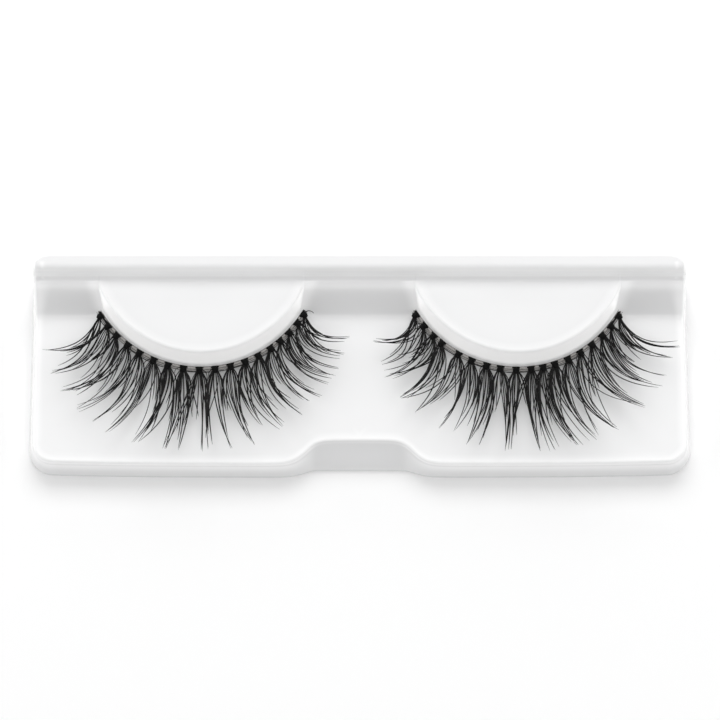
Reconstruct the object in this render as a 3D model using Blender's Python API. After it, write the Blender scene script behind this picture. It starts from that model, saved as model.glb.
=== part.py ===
"""A pair of false eyelash strips on a moulded white tray.

The tray is one thin moulding, open underneath: a bar along the back, two
half-moon pads that spring from it, a floor in front with a finger notch, and a
leaning wall down to the foot all round. A strip lies round each pad's side. It
is a clear band with eighteen knots on it, and each knot holds a fan of locks.

Metres, +Z up. X runs along the tray, +Y towards the bar, and the origin is the
middle of the foot.
"""

import math

import bmesh
import bpy

MM = 0.001

# Tray, overall
FOOT_WIDTH = 91.7 * MM
FOOT_DEPTH = 30.2 * MM
FLOOR_HEIGHT = 3.8 * MM
PAD_HEIGHT = 8.0 * MM
BAR_HEIGHT = 10.0 * MM
SHELL_THICKNESS = 0.45 * MM

# Tray, outer edge and wall
EDGE_INSET = 1.1 * MM
EDGE_ROUND = 0.45 * MM
FOOT_BAND = 0.5 * MM
FRONT_CORNER = 2.4 * MM
BACK_CORNER = 1.4 * MM
FRONT_BOW = 0.4 * MM

# Finger notch in the front: depth at the edge and at the foot, between which its wall slants,
# half width at half depth, and softness of its corners
NOTCH_DEPTH = 3.4 * MM
NOTCH_FOOT_DEPTH = 1.0 * MM
NOTCH_HALF_WIDTH = 7.65 * MM
NOTCH_SOFTNESS = 1.7 * MM

# Bar along the back
BAR_DEPTH = 1.75 * MM
BAR_LEAN = 0.25 * MM
BAR_EDGE_ROUND = 0.5 * MM

# Half-moon pads, as far apart as leaves a gap between the two strips' lashes
STRIP_GAP = 1.95 * MM
PAD_RADIUS = 15.7 * MM
PAD_REACH = 11.75 * MM
ARC_STRETCH = 1.064
RIM_ROUND = 0.5 * MM
SIDE_LEAN = 0.42 * MM
COVE_HEIGHT = 1.4 * MM
COVE_REACH = 3.1 * MM

# Slope of the recesses, between the pads and in the back corners
SLOPE_REACH = 5.95 * MM
SLOPE_BLEND = 0.6 * MM

# Lash band
BAND_STANDOFF = 0.88 * MM
BAND_WIDTH = 0.72 * MM
BAND_THICKNESS = 0.25 * MM
BAND_LIFT = 1.0 * MM
BAND_END_RISE = 0.4 * MM
BAND_START = math.radians(147.9)
BAND_END = math.radians(31.8)
BAND_STEPS = 34

# Knots, and the locks that they hold
KNOT_CLEARANCE = 0.3 * MM
KNOT_SETBACK = 0.25 * MM
KNOT_LENGTH = 0.8 * MM
KNOT_BACK_WIDTH = 1.0 * MM
KNOT_FRONT_WIDTH = 0.8 * MM
KNOT_THICKNESS = 0.45 * MM
LASH_LENGTH = 12.0 * MM
LASH_RISE = 4.0 * MM
LASH_DIP = 0.3 * MM
LOCK_HALF_WIDTH = 0.13 * MM
LOCK_ROOM_SHARE = 0.60
CLUSTER_MARGIN = 0.15 * MM
END_SECTOR = math.radians(0.8)

# Where the knots sit along each band, as shares of the way from its outer end to its inner end
KNOT_SHARES = {
    "left": (
        0.025, 0.074, 0.125, 0.183, 0.240, 0.304, 0.365, 0.428, 0.492,
        0.555, 0.617, 0.678, 0.735, 0.793, 0.840, 0.888, 0.938, 0.980,
    ),
    "right": (
        0.025, 0.075, 0.126, 0.181, 0.237, 0.294, 0.350, 0.399, 0.447,
        0.507, 0.570, 0.626, 0.689, 0.747, 0.826, 0.870, 0.924, 0.978,
    ),
}

# Reach of the lashes along the band: (share of the way from its outer end, share of LASH_LENGTH)
REACH_SHARES = (
    (0.00, 0.77),
    (0.12, 0.92),
    (0.28, 1.00),
    (0.55, 1.00),
    (0.72, 0.93),
    (0.90, 0.76),
    (1.00, 0.59),
)

# Locks of a cluster: (place across its own sector from -1 to 1, share of its reach)
OUTER_LOCK_SHARES = ((-0.96, 1.00), (-0.46, 0.76), (0.02, 0.90), (0.50, 0.72), (0.96, 0.88))
INNER_LOCK_SHARES = ((-0.96, 0.86), (-0.52, 0.74), (-0.04, 0.84), (0.44, 0.78), (0.96, 0.98))

# Sections of a lock: (share of its length, share of LOCK_HALF_WIDTH, height as a share of its width)
LOCK_SECTION_SHARES = (
    (0.20, 1.00, 1.30),
    (0.45, 0.92, 1.00),
    (0.75, 0.55, 1.00),
)

# Where a ray across the tray has a station, as shares of the cove, the rim, the pad and the floor
COVE_STATION_SHARES = (0.10, 0.30, 0.62, 1.00)
RIM_STATION_SHARES = (1.00, 0.30)
PAD_STATION_SHARES = (0.60,)
FLOOR_STATION_SHARES = (0.5,)

# The most of the room between a pad's side and the tray's edge that a cove may fill
COVE_ROOM_SHARE = 0.85

# How far the hollow's form runs on below the foot, so that it cuts clean through
CUT_BELOW = 1.0 * MM

# Places that follow from the sizes above
KNOT_BACK = PAD_RADIUS + BAND_STANDOFF + KNOT_SETBACK
KNOT_FRONT = KNOT_BACK + KNOT_LENGTH
INNER_TIP_RADIUS = KNOT_FRONT + LASH_LENGTH * REACH_SHARES[-1][1]
PAD_SPACING = 2.0 * INNER_TIP_RADIUS * math.cos(BAND_END) + STRIP_GAP
PAD_X = PAD_SPACING / 2.0
ARC_CENTRE_Y = FOOT_DEPTH / 2 - EDGE_INSET - BAR_DEPTH - PAD_REACH + PAD_RADIUS * ARC_STRETCH


def clear_scene():
    """Remove whatever the file opened with."""
    for thing in list(bpy.data.objects):
        bpy.data.objects.remove(thing, do_unlink=True)


def make_material(name, colour, roughness, metallic=0.0, alpha=1.0):
    """One Principled material."""
    material = bpy.data.materials.new(name)
    material.use_nodes = True
    shader = material.node_tree.nodes["Principled BSDF"]
    shader.inputs["Base Color"].default_value = (*colour, 1.0)
    shader.inputs["Roughness"].default_value = roughness
    shader.inputs["Metallic"].default_value = metallic
    shader.inputs["Alpha"].default_value = alpha
    return material


def make_object(name, mesh, material, parent=None):
    """A smooth-shaded object in the scene, under its parent."""
    mesh.materials.append(material)
    mesh.shade_smooth()
    mesh.set_sharp_from_angle(angle=math.radians(40))
    thing = bpy.data.objects.new(name, mesh)
    bpy.context.scene.collection.objects.link(thing)
    thing.parent = parent
    return thing


def spread(start, end, steps):
    """Evenly spaced values from just after start up to end."""
    return [start + (end - start) * step / steps for step in range(1, steps + 1)]


def interpolate(rows, share):
    """Read a two-column table at a share, straight between its rows."""
    for (low, low_value), (high, high_value) in zip(rows, rows[1:]):
        if share <= high:
            return low_value + (high_value - low_value) * (share - low) / (high - low)
    return rows[-1][1]


# Tray


class TrayForm:
    """The right half of one face of the moulding.

    With no skin it is the outer face. With the moulding's thickness as its skin
    it is the inner face, drawn in by that much from every side and from above.
    """

    def __init__(self, skin, base):
        self.base = base
        self.floor = FLOOR_HEIGHT - skin
        self.step = PAD_HEIGHT - FLOOR_HEIGHT
        self.bar_top = BAR_HEIGHT - skin
        self.bar_foot = FOOT_DEPTH / 2 - EDGE_INSET - BAR_DEPTH + skin
        self.pad_radius = PAD_RADIUS - skin
        self.edge_x = FOOT_WIDTH / 2 - EDGE_INSET - skin
        self.edge_front = -FOOT_DEPTH / 2 + EDGE_INSET + skin
        self.edge_back = FOOT_DEPTH / 2 - EDGE_INSET - skin
        self.notch_half_width = NOTCH_HALF_WIDTH + skin / 2
        self.front_corner = FRONT_CORNER - skin
        self.back_corner = BACK_CORNER - skin

    def arc_distance(self, x, y):
        """Distance outside the pad's rim, in the pad's own slightly deepened round."""
        return math.hypot(x - PAD_X, (y - ARC_CENTRE_Y) / ARC_STRETCH) - self.pad_radius

    def side_height(self, distance):
        """Height above the floor of the pad and its side, at a distance outside its rim."""
        if distance <= -RIM_ROUND:
            return self.step
        if distance <= 0.0:
            run = distance + RIM_ROUND
            return self.step - RIM_ROUND + math.sqrt(max(0.0, RIM_ROUND ** 2 - run ** 2))
        if distance <= SIDE_LEAN:
            drop = self.step - RIM_ROUND - COVE_HEIGHT
            return COVE_HEIGHT + drop * (1.0 - distance / SIDE_LEAN)
        turn = 1.0 - (distance - SIDE_LEAN) / COVE_REACH
        if turn <= 0.0:
            return 0.0
        return COVE_HEIGHT * (1.0 - math.sqrt(1.0 - turn ** 2))

    def slope_height(self, y):
        """Height above the floor of the soft slope that runs up to the bar."""
        share = (y - self.bar_foot + SLOPE_REACH) / SLOPE_REACH
        share = min(1.0, max(0.0, share))
        return self.step * share ** 2 * (3.0 - 2.0 * share)

    def height(self, x, y):
        """Height of the face in front of the bar."""
        side = self.side_height(self.arc_distance(x, y))
        slope = self.slope_height(y)
        high = max(side, slope)
        blend = SLOPE_BLEND * (1.0 - high / self.step)
        overlap = blend - abs(side - slope)
        if overlap > 0.0:
            high += overlap ** 2 / (4.0 * blend)
        return self.floor + high

    def notch_share(self, x):
        """How much of the notch's depth is cut at a distance from the tray's middle."""
        return 0.5 * (1.0 - math.tanh((x - self.notch_half_width) / NOTCH_SOFTNESS))

    def front_edge_y(self, x):
        """The upper edge along the front: a slight bow, with the finger notch in its middle."""
        bow = FRONT_BOW * (x / self.edge_x) ** 4
        return self.edge_front + bow + NOTCH_DEPTH * self.notch_share(x)

    def edge_stations(self):
        """Plan points of the upper edge, from the seam at the bar round to the side."""
        slope_foot = self.bar_foot - SLOPE_REACH
        points = [(0.0, self.bar_foot)]
        points += [(0.0, y) for y in spread(self.bar_foot, slope_foot, 5)]
        points += [(0.0, y) for y in spread(slope_foot, self.front_edge_y(0.0), 3)]
        notch_inner = self.notch_half_width - 1.5 * NOTCH_SOFTNESS
        notch_outer = self.notch_half_width + 2.0 * NOTCH_SOFTNESS
        corner_x = self.edge_x - self.front_corner
        front = [notch_inner] + spread(notch_inner, notch_outer, 6) + spread(notch_outer, corner_x, 6)
        points += [(x, self.front_edge_y(x)) for x in front]
        corner_y = self.front_edge_y(corner_x) + self.front_corner
        for turn in spread(0.0, math.pi / 2, 4):
            x = corner_x + self.front_corner * math.sin(turn)
            points.append((x, corner_y - self.front_corner * math.cos(turn)))
        points += [(self.edge_x, y) for y in spread(corner_y, slope_foot, 3)]
        points += [(self.edge_x, y) for y in spread(slope_foot, self.bar_foot, 5)]
        return points

    def run_to(self, direction, distance):
        """How far a ray from the pad's root runs before it is this distance outside the rim."""
        dx, dy = direction
        offset = self.bar_foot - ARC_CENTRE_Y
        a = dx ** 2 + (dy / ARC_STRETCH) ** 2
        b = 2.0 * offset * dy / ARC_STRETCH ** 2
        c = (offset / ARC_STRETCH) ** 2 - (self.pad_radius + distance) ** 2
        return (-b + math.sqrt(b * b - 4.0 * a * c)) / (2.0 * a)

    def ray_points(self, edge):
        """Plan points from the pad's root out to one point of the upper edge."""
        length = math.hypot(edge[0] - PAD_X, edge[1] - self.bar_foot)
        direction = ((edge[0] - PAD_X) / length, (edge[1] - self.bar_foot) / length)
        rim = self.run_to(direction, -RIM_ROUND)
        runs = [share * rim for share in PAD_STATION_SHARES]
        runs += [self.run_to(direction, -share * RIM_ROUND) for share in RIM_STATION_SHARES]
        runs += [self.run_to(direction, 0.0), self.run_to(direction, SIDE_LEAN)]
        side_foot = runs[-1]
        cove = self.run_to(direction, SIDE_LEAN + COVE_REACH) - side_foot
        cove = min(cove, COVE_ROOM_SHARE * (length - side_foot))
        runs += [side_foot + share * cove for share in COVE_STATION_SHARES]
        runs += [runs[-1] + share * (length - runs[-1]) for share in FLOOR_STATION_SHARES]
        points = [(PAD_X + run * direction[0], self.bar_foot + run * direction[1]) for run in runs]
        return points + [edge]

    def bar_sections(self):
        """The bar's front and top behind its foot line: (distance back, height)."""
        return (
            (BAR_LEAN, self.bar_top - BAR_EDGE_ROUND),
            (BAR_LEAN + 0.3 * BAR_EDGE_ROUND, self.bar_top - 0.3 * BAR_EDGE_ROUND),
            (BAR_LEAN + BAR_EDGE_ROUND, self.bar_top),
        )

    def wall_sections(self, top):
        """The outer wall under one edge point: (distance outwards, share of the notch's slant, height)."""
        return (
            (0.7 * EDGE_ROUND, 0.0, top - 0.3 * EDGE_ROUND),
            (EDGE_ROUND, 0.0, top - EDGE_ROUND),
            (EDGE_INSET, 1.0, FOOT_BAND),
            (EDGE_INSET, 1.0, self.base),
        )

    def add_floor_and_pad(self, bm):
        """The face in front of the bar, as rays from the pad's root; returns the rays."""
        root = bm.verts.new((PAD_X, self.bar_foot, self.floor + self.step))
        rays = []
        for edge in self.edge_stations():
            points = self.ray_points(edge)
            rays.append([root] + [bm.verts.new((x, y, self.height(x, y))) for x, y in points])
        for ray, following in zip(rays, rays[1:]):
            bm.faces.new((root, ray[1], following[1]))
            for step in range(1, len(ray) - 1):
                bm.faces.new((ray[step], ray[step + 1], following[step + 1], following[step]))
        return rays

    def add_bar(self, bm, rays):
        """The bar behind its foot line; returns its end and back vertices, in order."""
        foot = list(reversed(rays[0])) + rays[-1][1:]
        rows = [foot]
        for back, height in self.bar_sections():
            rows.append([bm.verts.new((vert.co.x, self.bar_foot + back, height)) for vert in foot])
        narrowing = (self.edge_x - self.back_corner) / self.edge_x
        rows.append([bm.verts.new((vert.co.x * narrowing, self.edge_back, self.bar_top)) for vert in foot])
        corner_depth = self.edge_back - rows[-2][-1].co.y
        corner = []
        for turn in (math.pi / 6, math.pi / 3):
            x = self.edge_x - self.back_corner * (1.0 - math.cos(turn))
            y = self.edge_back - corner_depth * (1.0 - math.sin(turn))
            corner.append(bm.verts.new((x, y, self.bar_top)))
        last = len(foot) - 2
        for front, behind in zip(rows, rows[1:]):
            for column in range(len(foot) - 1):
                face = [front[column], front[column + 1], behind[column + 1], behind[column]]
                if behind is rows[-1] and column == last:
                    face[2:2] = corner
                bm.faces.new(face)
        end = [row[-1] for row in rows[1:-1]]
        return end + corner + list(reversed(rows[-1]))

    def add_wall(self, bm, edge):
        """The outer wall, hung from the chain of edge vertices, and the flat base under it."""
        tops = [tuple(vert.co) for vert in edge]
        normals = plan_normals(tops)
        chains = [edge]
        for level in range(len(self.wall_sections(0.0))):
            chain = []
            for (x, y, top), (nx, ny) in zip(tops, normals):
                out, slant, height = self.wall_sections(top)[level]
                forward = 0.0
                if y < 0.0:
                    forward = slant * (NOTCH_DEPTH - NOTCH_FOOT_DEPTH) * self.notch_share(x)
                chain.append(bm.verts.new((x + out * nx, y + out * ny - forward, height)))
            chains.append(chain)
        for upper, lower in zip(chains, chains[1:]):
            for index in range(len(upper) - 1):
                bm.faces.new((upper[index], lower[index], lower[index + 1], upper[index + 1]))
        bm.faces.new(chains[-1])

    def make_mesh(self, name):
        """The half form, closed but for its seam."""
        bm = bmesh.new()
        rays = self.add_floor_and_pad(bm)
        front_of_seam = next(index for index, ray in enumerate(rays) if ray[-1].co.x > 0.0) - 1
        edge = [ray[-1] for ray in rays[front_of_seam:]]
        edge += self.add_bar(bm, rays)
        self.add_wall(bm, edge)
        bmesh.ops.recalc_face_normals(bm, faces=bm.faces)
        mesh = bpy.data.meshes.new(name)
        bm.to_mesh(mesh)
        bm.free()
        return mesh


def plan_normals(points):
    """Outward plan directions of a chain that starts and ends on the seam."""
    normals = []
    for index in range(len(points)):
        before = points[max(index - 1, 0)]
        after = points[min(index + 1, len(points) - 1)]
        dx, dy = after[0] - before[0], after[1] - before[1]
        size = math.hypot(dx, dy)
        normals.append((dy / size, -dx / size))
    normals[0] = (0.0, -1.0)
    normals[-1] = (0.0, 1.0)
    return normals


def add_other_half(thing):
    """Mirror a half form across the seam."""
    mirror = thing.modifiers.new("other_half", "MIRROR")
    mirror.merge_threshold = 0.0001


def make_tray(material):
    """The tray: its outer form, hollowed from below by its inner form."""
    hollow = make_object("tray_hollow", TrayForm(SHELL_THICKNESS, -CUT_BELOW).make_mesh("tray_hollow"), material)
    hollow.hide_render = True
    hollow.display_type = "WIRE"
    add_other_half(hollow)
    tray = make_object("tray", TrayForm(0.0, 0.0).make_mesh("tray"), material)
    add_other_half(tray)
    moulding = tray.modifiers.new("moulding", "BOOLEAN")
    moulding.operation = "DIFFERENCE"
    moulding.solver = "EXACT"
    moulding.object = hollow
    return tray


# Lash strips


class Strip:
    """One strip's frame: an arc round its pad, from its outer end to its inner end."""

    def __init__(self, side):
        self.side = side
        self.mirror = 1.0 if side == "left" else -1.0
        self.empty = bpy.data.objects.new(side + "_strip", None)
        self.empty.location = (-self.mirror * PAD_X, ARC_CENTRE_Y, FLOOR_HEIGHT)
        bpy.context.scene.collection.objects.link(self.empty)
        span = BAND_END - BAND_START
        self.knots = [BAND_START + span * share for share in KNOT_SHARES[side]]

    def place(self, angle, radius, height):
        """A point at an angle round the arc, at a radius, at a height above the floor.

        The strip's two ends ride a little up the slopes, and carry their lashes with them.
        """
        share = (angle - BAND_START) / (BAND_END - BAND_START)
        off_middle = min(1.0, abs(2.0 * share - 1.0))
        x = radius * math.cos(angle) * self.mirror
        y = -radius * math.sin(angle) * ARC_STRETCH
        return (x, y, height + BAND_END_RISE * off_middle ** 6)

    def sector(self, index):
        """Half angles that a knot's cluster may fill towards the outer and the inner end."""
        here = self.knots[index]
        outer = END_SECTOR if index == 0 else (self.knots[index - 1] - here) / 2
        inner = END_SECTOR if index == len(self.knots) - 1 else (here - self.knots[index + 1]) / 2
        return outer, inner


def make_band(strip, material):
    """The clear band: a thin flat ribbon round the pad's side."""
    inner = PAD_RADIUS + BAND_STANDOFF
    section = (
        (inner, BAND_LIFT),
        (inner + BAND_WIDTH, BAND_LIFT),
        (inner + BAND_WIDTH, BAND_LIFT + BAND_THICKNESS),
        (inner, BAND_LIFT + BAND_THICKNESS),
    )
    bm = bmesh.new()
    loops = []
    for angle in [BAND_START] + spread(BAND_START, BAND_END, BAND_STEPS):
        loops.append([bm.verts.new(strip.place(angle, radius, height)) for radius, height in section])
    for loop, following in zip(loops, loops[1:]):
        for side in range(4):
            turned = (side + 1) % 4
            bm.faces.new((loop[side], loop[turned], following[turned], following[side]))
    bm.faces.new(loops[0])
    bm.faces.new(loops[-1])
    bmesh.ops.recalc_face_normals(bm, faces=bm.faces)
    mesh = bpy.data.meshes.new(strip.side + "_band")
    bm.to_mesh(mesh)
    bm.free()
    return make_object(strip.side + "_band", mesh, material, strip.empty)


def lash_height(share):
    """Rise of a lash above its knot's middle: a slight dip, then the upward curl."""
    return LASH_RISE * share ** 2.2 - LASH_DIP * math.sin(math.pi * share) * (1.0 - share)


def fan_out(share):
    """How much of its way across the sector a lock has gone, at a share of its length."""
    left = max(0.0, 1.0 - share / 0.55)
    return 1.0 - left ** 2


def lock_half_width(strip, index, radius, locks):
    """Half the width of a cluster's locks, which stay clear of each other in a narrow sector."""
    room = sum(strip.sector(index)) * radius - 2.0 * CLUSTER_MARGIN
    return min(LOCK_HALF_WIDTH, LOCK_ROOM_SHARE * room / locks / 2.0)


def lock_angle(strip, index, place, radius, half_width):
    """Angle off the knot of a lock's line once it has fanned out to its place."""
    outer, inner = strip.sector(index)
    half_room = (outer + inner) / 2.0 - (CLUSTER_MARGIN + half_width) / radius
    return (inner - outer) / 2.0 + place * half_room


def make_cluster(strip, index, material):
    """A knot with its fan of locks, in one closed body."""
    share_along = KNOT_SHARES[strip.side][index]
    locks = OUTER_LOCK_SHARES if index % 2 == 0 else INNER_LOCK_SHARES
    reach = LASH_LENGTH * interpolate(REACH_SHARES, share_along)
    back, front = KNOT_BACK, KNOT_FRONT
    low = BAND_LIFT + BAND_THICKNESS + KNOT_CLEARANCE
    high = low + KNOT_THICKNESS
    middle = (low + high) / 2
    centre = strip.knots[index]
    half_width = lock_half_width(strip, index, front + LOCK_SECTION_SHARES[0][0] * reach, len(locks))

    bm = bmesh.new()

    def add(across, radius, height):
        """A vertex at a distance along the band from the knot's middle, inner end positive."""
        return bm.verts.new(strip.place(centre - across / radius, radius, height))

    back_columns = [(add(side * KNOT_BACK_WIDTH / 2, back, low), add(side * KNOT_BACK_WIDTH / 2, back, high))
                    for side in (-1, 1)]
    front_columns = []
    for column in range(len(locks) + 1):
        across = KNOT_FRONT_WIDTH * (column / len(locks) - 0.5)
        front_columns.append((add(across, front, low), add(across, front, high)))
    (first_low, first_high), (last_low, last_high) = back_columns
    bm.faces.new((first_low, first_high, last_high, last_low))
    for level in (0, 1):
        front_edge = [column[level] for column in reversed(front_columns)]
        bm.faces.new([back_columns[0][level], back_columns[1][level]] + front_edge)
    for side in (0, -1):
        bm.faces.new(back_columns[side] + tuple(reversed(front_columns[side])))

    for number, (place, length_share) in enumerate(locks):
        length = reach * length_share
        start = KNOT_FRONT_WIDTH * ((number + 0.5) / len(locks) - 0.5) / front
        (a_low, a_high), (b_low, b_high) = front_columns[number], front_columns[number + 1]
        ring = [a_low, b_low, b_high, a_high]

        def line(share):
            """Angle, radius and height of the lock's middle line."""
            radius = front + length * share
            target = lock_angle(strip, index, place, radius, half_width)
            fan = fan_out(share * length_share)
            angle = start * (1.0 - fan) + target * fan
            return centre - angle, radius, middle + lash_height(share * length_share)

        for share, width_share, roundness in LOCK_SECTION_SHARES:
            angle, radius, height = line(share)
            half = half_width * width_share
            turn = half / radius
            tall = half * roundness
            following = [
                bm.verts.new(strip.place(angle + turn, radius, height - tall)),
                bm.verts.new(strip.place(angle - turn, radius, height - tall)),
                bm.verts.new(strip.place(angle - turn, radius, height + tall)),
                bm.verts.new(strip.place(angle + turn, radius, height + tall)),
            ]
            for side in range(4):
                turned = (side + 1) % 4
                bm.faces.new((ring[side], ring[turned], following[turned], following[side]))
            ring = following
        tip = bm.verts.new(strip.place(*line(1.0)))
        for side in range(4):
            bm.faces.new((ring[side], ring[(side + 1) % 4], tip))

    bmesh.ops.triangulate(bm, faces=bm.faces)
    bmesh.ops.recalc_face_normals(bm, faces=bm.faces)
    name = "{}_cluster_{:02d}".format(strip.side, index + 1)
    mesh = bpy.data.meshes.new(name)
    bm.to_mesh(mesh)
    bm.free()
    return make_object(name, mesh, material, strip.empty)


def main():
    clear_scene()
    plastic = make_material("white_plastic", (0.90, 0.90, 0.90), 0.22)
    clear_band = make_material("clear_band", (0.62, 0.62, 0.62), 0.30, alpha=0.6)
    hair = make_material("black_hair", (0.012, 0.011, 0.012), 0.38)
    make_tray(plastic)
    for side in ("left", "right"):
        strip = Strip(side)
        make_band(strip, clear_band)
        for index in range(len(strip.knots)):
            make_cluster(strip, index, hair)


main()
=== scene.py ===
"""A pair of false eyelash strips on their moulded white tray, dressed for a soft studio picture.

The tray is one thin glossy moulding. Each strip is a clear band with fine
threads in it, eighteen bound knots, and a fan of tapered hairs from each knot.
Metres, +Z up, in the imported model's own frame.
"""

import logging
import math
import random
from dataclasses import dataclass, field
from enum import Enum

import bmesh
import bpy
from mathutils import Matrix, Vector


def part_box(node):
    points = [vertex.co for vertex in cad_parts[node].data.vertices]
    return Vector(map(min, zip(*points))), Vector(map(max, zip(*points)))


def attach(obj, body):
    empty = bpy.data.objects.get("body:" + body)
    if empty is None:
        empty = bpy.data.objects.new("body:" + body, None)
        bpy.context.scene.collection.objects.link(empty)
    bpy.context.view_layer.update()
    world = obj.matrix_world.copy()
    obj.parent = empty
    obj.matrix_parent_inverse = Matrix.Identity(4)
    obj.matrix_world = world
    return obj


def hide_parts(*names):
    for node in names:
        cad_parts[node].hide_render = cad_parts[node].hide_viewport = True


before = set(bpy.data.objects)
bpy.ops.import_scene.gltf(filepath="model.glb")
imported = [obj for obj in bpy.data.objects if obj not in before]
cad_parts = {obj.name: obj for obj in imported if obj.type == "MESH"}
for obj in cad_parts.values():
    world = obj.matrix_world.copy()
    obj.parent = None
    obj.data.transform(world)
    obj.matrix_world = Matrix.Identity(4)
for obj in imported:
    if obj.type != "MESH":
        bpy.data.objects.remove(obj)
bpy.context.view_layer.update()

MM = 0.001
BODY = "root"
PHOTO_ELEVATION = math.radians(70.0)

Point = tuple[float, float, float]
Plan = tuple[float, float]
Row = list[bmesh.types.BMVert]

log = logging.getLogger("lash_tray")


class Side(Enum):
    """A strip's side of the tray, with the sign that turns its inner end towards the middle."""

    LEFT = 1.0
    RIGHT = -1.0

    @property
    def word(self) -> str:
        """The side's name as the nodes spell it."""
        return self.name.lower()


class Skin(Enum):
    """A face of the moulding, with its depth below the outer face as a share of the wall."""

    OUTER = 0.0
    INNER = 1.0


# Small helpers


def smooth_step(share: float) -> float:
    """Ease from 0 to 1."""
    share = min(1.0, max(0.0, share))
    return share * share * (3.0 - 2.0 * share)


def spread(start: float, end: float, steps: int) -> list[float]:
    """Evenly spaced values from just after start up to end."""
    return [start + (end - start) * step / steps for step in range(1, steps + 1)]


def quarter_turn(steps: int) -> list[float]:
    """Evenly spaced turns from just after 0 up to a right angle."""
    return spread(0.0, math.pi / 2.0, steps)


def read_table(rows: tuple[Plan, ...], place: float) -> float:
    """Read a two-column table, straight between its rows.

    Args:
        rows: pairs of place and value, in order of place.
        place: where to read it.

    Returns:
        The value there, or the nearest end's value.
    """
    if place <= rows[0][0]:
        return rows[0][1]
    for (low, low_value), (high, high_value) in zip(rows, rows[1:]):
        if place <= high:
            return low_value + (high_value - low_value) * (place - low) / (high - low)
    return rows[-1][1]


def blend_curve(values: tuple[float, ...], stations: tuple[float, ...], share: float) -> float:
    """Read a smooth curve through a few values.

    Args:
        values: the values at the stations.
        stations: their places, rising from 0 to 1.
        share: where to read the curve, from 0 to 1.

    Returns:
        The curve's value, from cubic pieces that share their slopes.
    """
    last = len(stations) - 1
    piece = next((index for index in range(last) if share <= stations[index + 1]), last - 1)
    slopes = []
    for index in (piece, piece + 1):
        before, after = max(index - 1, 0), min(index + 1, last)
        slopes.append((values[after] - values[before]) / (stations[after] - stations[before]))
    width = stations[piece + 1] - stations[piece]
    t = min(1.0, max(0.0, (share - stations[piece]) / width))
    t2, t3 = t * t, t * t * t
    start = (2.0 * t3 - 3.0 * t2 + 1.0) * values[piece] + (t3 - 2.0 * t2 + t) * width * slopes[0]
    end = (3.0 * t2 - 2.0 * t3) * values[piece + 1] + (t3 - t2) * width * slopes[1]
    return start + end


def plan_normals(points: list[Point]) -> list[Plan]:
    """Find the outward plan directions of a chain that starts and ends on the seam.

    Args:
        points: the chain, from the front seam round to the back seam.

    Returns:
        A direction for each point.
    """
    normals = []
    for before, after in zip(points[:1] + points[:-1], points[1:] + points[-1:]):
        dx, dy = after[0] - before[0], after[1] - before[1]
        size = math.hypot(dx, dy)
        normals.append((dy / size, -dx / size))
    return [(0.0, -1.0)] + normals[1:-1] + [(0.0, 1.0)]


# Mesh helpers


def oval(sides: int, half_width: float, half_height: float, squareness: Plan = (1.0, 1.0)) -> list[Plan]:
    """Go round a section that is an oval or a box with rounded corners.

    Args:
        sides: how many points it has.
        half_width: half its size across.
        half_height: half its size up.
        squareness: powers of the cosine and the sine, 1 for an oval and less for squarer corners.

    Returns:
        The points, each as its place across and up.
    """
    points = []
    for side in range(sides):
        turn = 2.0 * math.pi * side / sides
        across, up = math.cos(turn), math.sin(turn)
        points.append((math.copysign(abs(across) ** squareness[0], across) * half_width,
                       math.copysign(abs(up) ** squareness[1], up) * half_height))
    return points


def join_rows(bm: bmesh.types.BMesh, rows: list[Row], closed: bool = False) -> None:
    """Join rows of vertices with four-sided faces.

    Args:
        bm: the mesh to add to.
        rows: rows of equal length.
        closed: whether each row closes on itself.
    """
    for row, following in zip(rows, rows[1:]):
        for index in range(len(row) if closed else len(row) - 1):
            turned = (index + 1) % len(row)
            bm.faces.new((row[index], row[turned], following[turned], following[index]))


def add_tube(bm: bmesh.types.BMesh, sections: list[list[Point]]) -> list[Row]:
    """Add a capped tube.

    Args:
        bm: the mesh to add to.
        sections: the points round each section.

    Returns:
        The vertices of each section.
    """
    rings = [[bm.verts.new(point) for point in section] for section in sections]
    join_rows(bm, rings, closed=True)
    bm.faces.new(rings[0])
    bm.faces.new(rings[-1])
    return rings


def add_object(name: str, mesh: bpy.types.Mesh) -> bpy.types.Object:
    """Put a mesh into the scene as an object at the origin."""
    thing = bpy.data.objects.new(name, mesh)
    bpy.context.scene.collection.objects.link(thing)
    return thing


def finish_mesh(bm: bmesh.types.BMesh, name: str, material: bpy.types.Material) -> bpy.types.Object:
    """Turn a mesh under work into a smooth object.

    Args:
        bm: the mesh under work, which is freed.
        name: the object's name.
        material: its material.

    Returns:
        The object, its faces turned outwards.
    """
    bmesh.ops.recalc_face_normals(bm, faces=bm.faces)
    mesh = bpy.data.meshes.new(name)
    bm.to_mesh(mesh)
    bm.free()
    mesh.materials.append(material)
    mesh.shade_smooth()
    return add_object(name, mesh)


def dress(piece: bpy.types.Object, nodes: list[str]) -> None:
    """Tie a finished piece to the frame.

    Args:
        piece: the finished object.
        nodes: the solids that it stands for.
    """
    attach(piece, BODY)
    if nodes:
        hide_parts(*nodes)
    log.info("%s: %d faces, for %d solids", piece.name, len(piece.data.polygons), len(nodes))


# Node trees


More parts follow.
